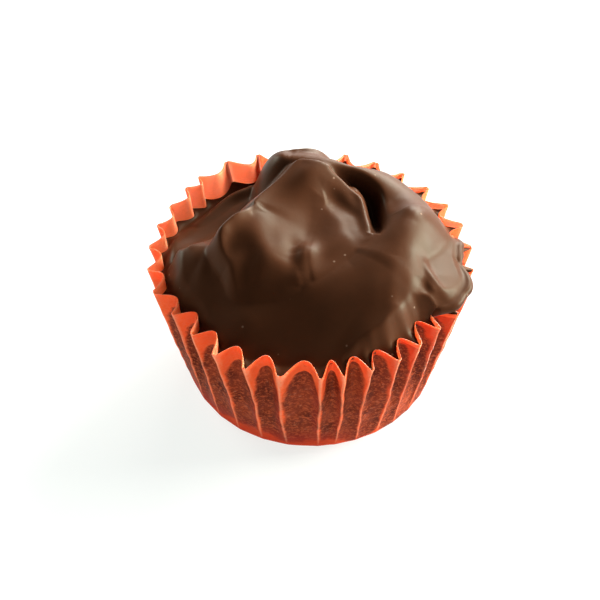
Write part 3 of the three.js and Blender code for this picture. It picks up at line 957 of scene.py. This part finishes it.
def speck_group():
    """Small scattered spots, 1 at their middles, in about the share of cells asked for."""
    nodes, entry, leave = group_shell("Specks", Scale=1000.0, Size=0.2, Share=0.1)
    cells = nodes.add("ShaderNodeTexVoronoi",
                      {"Vector": entry["Vector"], "Scale": entry["Scale"]}).outputs
    split = nodes.add("ShaderNodeSeparateColor", {"Color": cells["Color"]})
    chosen = nodes.maths("LESS_THAN", split.outputs[0], entry["Share"])
    spot = nodes.ramp(cells["Distance"], entry["Size"], 0.0)
    nodes.feed(leave["Mask"], nodes.times(spot, chosen))
    return nodes.tree


def shared(maker, name):
    return bpy.data.node_groups.get(name) or maker()


def chocolate_material(settings):
    """Milk chocolate: brown with faint cloudy bloom, a satin skin and a few tiny specks."""
    material, nodes, skin = new_material("milk chocolate")
    where = nodes.where()
    mottle, specks = shared(mottle_group, "Mottling"), shared(speck_group, "Specks")
    base = settings.colour
    cloud = nodes.group(mottle, Vector=where, Scale=130.0, Detail=4.0, Contrast=0.22)
    colour = nodes.blend(cloud, tinted(base, 0.86), tinted(base, 1.16))
    patch = nodes.group(mottle, Vector=where, Scale=420.0, Detail=2.0, Contrast=0.25)
    warm = nodes.blend(nodes.times(patch, 0.35), colour, tinted(base, 1.3, 1.12, 0.95))
    speck = nodes.group(specks, Vector=where, Scale=640.0, Size=0.14, Share=0.18)
    final = nodes.blend(nodes.times(speck, 0.38), warm, SPECK_COLOUR)
    nodes.feed(skin.inputs["Base Color"], final)
    rough = settings.roughness
    satin = nodes.ramp(cloud, 0.0, 1.0, rough - 0.04, rough + 0.06)
    nodes.feed(skin.inputs["Roughness"], satin)
    soft = nodes.add("ShaderNodeTexNoise", {"Vector": where, "Scale": 900.0, "Detail": 3.0})
    height = nodes.maths("ADD", soft.outputs["Fac"], nodes.times(speck, 0.6))
    bump = nodes.add("ShaderNodeBump", {"Height": height, "Strength": 0.12, "Distance": 0.0001})
    nodes.feed(skin.inputs["Normal"], bump.outputs["Normal"])
    skin.inputs["IOR"].default_value = 1.48
    skin.inputs["Specular IOR Level"].default_value = 0.063
    skin.inputs["Specular Tint"].default_value = (0.68, 1.0, 0.64, 1.0)
    return material


def paper_material(settings):
    """Red-orange baking paper, rubbed pale along the folds with a painted highlight, brown where
    greased.
    """
    material, nodes, skin = new_material("greased baking paper")
    where = nodes.where()
    place = nodes.add("ShaderNodeSeparateXYZ", {"Vector": where}).outputs
    right, height = place["X"], place["Z"]
    mottle, specks = shared(mottle_group, "Mottling"), shared(speck_group, "Specks")
    strands = nodes.add("ShaderNodeMapping", {"Vector": where, "Scale": (1, 1, 1.5)}).outputs[0]
    fibre = nodes.add("ShaderNodeTexNoise",
                      {"Vector": strands, "Scale": 1900.0, "Detail": 4.0, "Roughness": 0.75,
                       "Distortion": 0.3}).outputs["Fac"]
    margin, wear, side = (nodes.attribute(name) for name in ("grease", "wear", "side"))

    # Clean paper, outside and inside
    base, glow = settings.colour, settings.inner_colour
    cloud = nodes.group(mottle, Vector=where, Scale=160.0, Detail=3.0, Contrast=0.25)
    clean = nodes.blend(cloud, tinted(base, 0.86), tinted(base, 1.1))
    pores = nodes.ramp(fibre, 0.35, 0.65)
    clean = nodes.blend(nodes.times(pores, 0.16), clean, settings.fold_colour)
    within = nodes.ramp(margin, INNER_FACE, INNER_FACE + 1, 1.0, 0.0)
    inner = nodes.blend(pores, tinted(glow, 0.9), glow)
    # Painted shade on the inner face's flanks at the left, which catch too much light
    inner_painted_shade = nodes.times(nodes.ramp(side, 0.0, -0.5, soft=True),
                      nodes.ramp(right, *INNER_PAINTED_SHADE_TO_MIDDLE, soft=True))
    inner_painted_shade = nodes.times(inner_painted_shade, nodes.ramp(right, *INNER_PAINTED_SHADE_FROM_LEFT, soft=True))
    inner = nodes.blend(inner_painted_shade, inner, tinted(glow, 0.5, 0.4, 0.4))
    clean = nodes.blend(within, clean, inner)

    # Painted shade: darker at the foot and, below the rim, along the panels' right sides; duller
    # at the right
    foot = nodes.ramp(height, *FOOT_PAINTED_SHADE, soft=True)
    below = nodes.ramp(height, *UPPER_PAINTED_SHADE, soft=True)
    band = nodes.ramp(side, 0.25, 0.85, soft=True)
    painted_shade = nodes.maths("MAXIMUM", foot, nodes.times(below, band))
    painted_shade = nodes.times(painted_shade, nodes.ramp(right, *PAINTED_SHADE_EASES_RIGHT, soft=True))
    outside = nodes.ramp(margin, -1.6, -1.0)
    painted_shade = nodes.times(painted_shade, outside)
    # The painted shade's colour, a darker red of the paper
    painted_shade_colour = tinted(base, 0.36, 0.18, 0.3)
    # Painted shade darkens the clean paper towards the right
    right_painted_shade = nodes.ramp(right, *CLEAN_PAINTED_SHADE_RIGHT, soft=True)
    clean = nodes.blend(nodes.times(right_painted_shade, outside), clean, painted_shade_colour)

    # Grease: patches and threads of two browns with dry specks, and a ragged margin
    edge = nodes.group(mottle, Vector=where, Scale=450.0, Detail=5.0, Contrast=0.3)
    ragged = nodes.maths("ADD", margin, nodes.ramp(edge, 0.0, 1.0, -0.16, 0.16))
    soaked = nodes.ramp(ragged, -0.04, 0.16, soft=True)
    grease = settings.grease_colour
    patch = nodes.group(mottle, Vector=where, Scale=330.0, Detail=5.0, Contrast=0.14)
    stain = nodes.blend(patch, tinted(grease, 0.36), tinted(grease, 1.1))
    threads = nodes.times(nodes.ramp(fibre, 0.5, 0.58), 0.8)
    stain = nodes.blend(threads, stain, tinted(grease, 2.4, 2.8, 2.6))
    dry = nodes.group(specks, Vector=strands, Scale=1300.0, Size=0.4, Share=0.2)
    stain = nodes.blend(nodes.times(dry, 0.4), stain, DRY_COLOUR)
    stained_and_shaded = nodes.blend(nodes.times(soaked, 0.96), clean, stain)
    # Painted shade laid over the stain too, at the foot and along the panels' right sides
    stained_and_shaded = nodes.blend(nodes.times(painted_shade, 0.8), stained_and_shaded, painted_shade_colour)

    # Folds pale where the dye is rubbed off, with a painted highlight on them too
    rubbed_and_highlit = nodes.times(wear, nodes.ramp(fibre, 0.3, 0.6, 0.4, 0.95))
    rubbed_and_highlit = nodes.times(rubbed_and_highlit, nodes.ramp(cloud, 0.0, 1.0, 0.7, 1.0))
    # Painted shade holds the pale folds back towards the right
    rubbed_and_highlit = nodes.times(rubbed_and_highlit, nodes.ramp(right, *FOLD_PAINTED_SHADE_RIGHT, soft=True))
    final = nodes.blend(rubbed_and_highlit, stained_and_shaded, settings.fold_colour)
    nodes.feed(skin.inputs["Base Color"], final)
    nodes.feed(skin.inputs["Roughness"], nodes.ramp(soaked, 0.0, 1.0, 0.8, 0.55))

    # Light shines through the inner face most, through clean paper less, and hardly through grease
    through = nodes.maths("ADD", nodes.ramp(margin, -0.04, 0.16, 0.5, 0.06, soft=True),
                          nodes.ramp(margin, INNER_FACE, INNER_FACE + 1, 0.45, 0.0))
    nodes.feed(skin.inputs["Subsurface Weight"], through)
    bump = nodes.add("ShaderNodeBump", {"Height": fibre, "Strength": 0.4, "Distance": 0.00012})
    nodes.feed(skin.inputs["Normal"], bump.outputs["Normal"])
    skin.inputs["IOR"].default_value = 1.12
    skin.inputs["Specular IOR Level"].default_value = 0.5
    skin.inputs["Subsurface Radius"].default_value = (1.0, 1.1, 1.07)
    skin.inputs["Subsurface Scale"].default_value = 0.0004
    return material


def floor_material(settings):
    """White light table with a very faint unevenness."""
    material, nodes, skin = new_material("white light table")
    cloud = nodes.group(shared(mottle_group, "Mottling"), Vector=nodes.where(), Scale=6.0,
                        Detail=2.0, Contrast=0.3)
    pale, glow = settings.floor_colour, settings.glow_colour
    nodes.feed(skin.inputs["Base Color"], nodes.blend(cloud, tinted(pale, 0.97), pale))
    nodes.feed(skin.inputs["Emission Color"], nodes.blend(cloud, tinted(glow, 0.99), glow))
    skin.inputs["Emission Strength"].default_value = 1.0
    skin.inputs["Specular IOR Level"].default_value = 0.0
    skin.inputs["Roughness"].default_value = 0.9
    return material


# Stage

def look_along(thing, place, target):
    thing.location = place
    thing.rotation_euler = (Vector(target) - Vector(place)).to_track_quat("-Z", "Y").to_euler()


def add_light(name, direction, size, power, glossy):
    """A soft light that shines at the cup."""
    light = bpy.data.lights.new(name, "AREA")
    light.shape = "RECTANGLE"
    light.size, light.size_y = size
    light.energy = power
    light.color = LIGHT_COLOUR
    thing = bpy.data.objects.new(name, light)
    bpy.context.scene.collection.objects.link(thing)
    aside, rise = (math.radians(angle) for angle in direction)
    level = math.cos(rise)
    place = Vector((math.sin(aside) * level, math.cos(aside) * level, math.sin(rise)))
    look_along(thing, place * LIGHT_DISTANCE, LIGHT_AIM)
    thing.visible_glossy = glossy


def add_camera():
    """The photograph's view: the camera is moved sideways until the frame's middle fits."""
    rise = math.radians(CAMERA_RISE)
    back = Vector((0, -math.cos(rise), math.sin(rise)))
    up = Vector((0, math.sin(rise), math.cos(rise)))
    half = PHOTO_SIDE / 2
    per_pixel = CAMERA_DISTANCE / CAMERA_FOCAL
    aside = (half - CAMERA_CENTRE[0]) * per_pixel
    down = (half - CAMERA_CENTRE[1]) * per_pixel
    aim = Vector(CAMERA_AIM) + Vector((1, 0, 0)) * aside - up * down
    data = bpy.data.cameras.new("camera")
    data.sensor_width = CAMERA_SENSOR
    data.lens = CAMERA_SENSOR * CAMERA_FOCAL / PHOTO_SIDE
    data.clip_start = 0.01
    camera = bpy.data.objects.new("camera", data)
    bpy.context.scene.collection.objects.link(camera)
    look_along(camera, (aim + back * CAMERA_DISTANCE) * MM, aim * MM)
    bpy.context.scene.camera = camera


# Operators

class OBJECT_OT_paper_case(bpy.types.Operator):
    """Builds the pleated paper case"""
    bl_idname = "chocolate_cup.paper_case"
    bl_label = "Paper case"

    def execute(self, context):
        settings = context.scene.paper_case
        piece = paper_skin(Case(settings)).piece("pleated_case")
        piece.data.materials.append(paper_material(settings))
        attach(piece, "root")
        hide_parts("paper_case")
        return {"FINISHED"}


class OBJECT_OT_chocolate(bpy.types.Operator):
    """Builds the swirled chocolate that fills the case"""
    bl_idname = "chocolate_cup.chocolate"
    bl_label = "Chocolate"

    def execute(self, context):
        settings = context.scene.chocolate
        piece = chocolate_skin(Case(context.scene.paper_case), settings).piece("swirled_filling")
        piece.data.materials.append(chocolate_material(settings))
        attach(piece, "root")
        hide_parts("chocolate")
        return {"FINISHED"}


class OBJECT_OT_stage(bpy.types.Operator):
    """Sets up the floor, the lights and the camera"""
    bl_idname = "chocolate_cup.stage"
    bl_label = "Stage"

    def execute(self, context):
        settings = context.scene.cup_stage
        mesh = bpy.data.meshes.new("floor")
        half = settings.floor_size / 2
        corners = ((-half, -half, 0), (half, -half, 0), (half, half, 0), (-half, half, 0))
        mesh.from_pydata(corners, [], [(0, 1, 2, 3)])
        floor = bpy.data.objects.new("floor", mesh)
        floor.location.z = -FLOOR_DROP
        context.scene.collection.objects.link(floor)
        mesh.materials.append(floor_material(settings))

        for name, direction, size, setting, share, glossy in LIGHTS:
            add_light(name, direction, size, share * getattr(settings, setting), glossy)
        world = bpy.data.worlds.new("studio")
        world.use_nodes = True
        background = world.node_tree.nodes["Background"]
        background.inputs["Color"].default_value = (1, 1, 1, 1)
        background.inputs["Strength"].default_value = WORLD_STRENGTH
        context.scene.world = world
        context.scene.view_settings.view_transform = "Standard"
        add_camera()
        return {"FINISHED"}


class VIEW3D_PT_chocolate_cup(bpy.types.Panel):
    bl_idname = "VIEW3D_PT_chocolate_cup"
    bl_label = "Chocolate Cup"
    bl_space_type = "VIEW_3D"
    bl_region_type = "UI"
    bl_category = "Chocolate Cup"

    def draw(self, context):
        groups = ((OBJECT_OT_paper_case, context.scene.paper_case),
                  (OBJECT_OT_chocolate, context.scene.chocolate),
                  (OBJECT_OT_stage, context.scene.cup_stage))
        for operator, settings in groups:
            box = self.layout.box()
            box.label(text=operator.bl_label)
            for name in settings.bl_rna.properties.keys():
                if name not in ("rna_type", "name"):
                    box.prop(settings, name)
            box.operator(operator.bl_idname)


SETTINGS = {
    "paper_case": PaperCaseSettings,
    "chocolate": ChocolateSettings,
    "cup_stage": StageSettings,
}
CLASSES = (*SETTINGS.values(), OBJECT_OT_paper_case, OBJECT_OT_chocolate, OBJECT_OT_stage,
           VIEW3D_PT_chocolate_cup)


def register():
    for cls in CLASSES:
        bpy.utils.register_class(cls)
    for name, cls in SETTINGS.items():
        setattr(bpy.types.Scene, name, PointerProperty(type=cls))


def unregister():
    for name in SETTINGS:
        delattr(bpy.types.Scene, name)
    for cls in reversed(CLASSES):
        bpy.utils.unregister_class(cls)


def main():
    register()
    bpy.ops.chocolate_cup.paper_case()
    bpy.ops.chocolate_cup.chocolate()
    bpy.ops.chocolate_cup.stage()


if __name__ == "__main__":
    main()
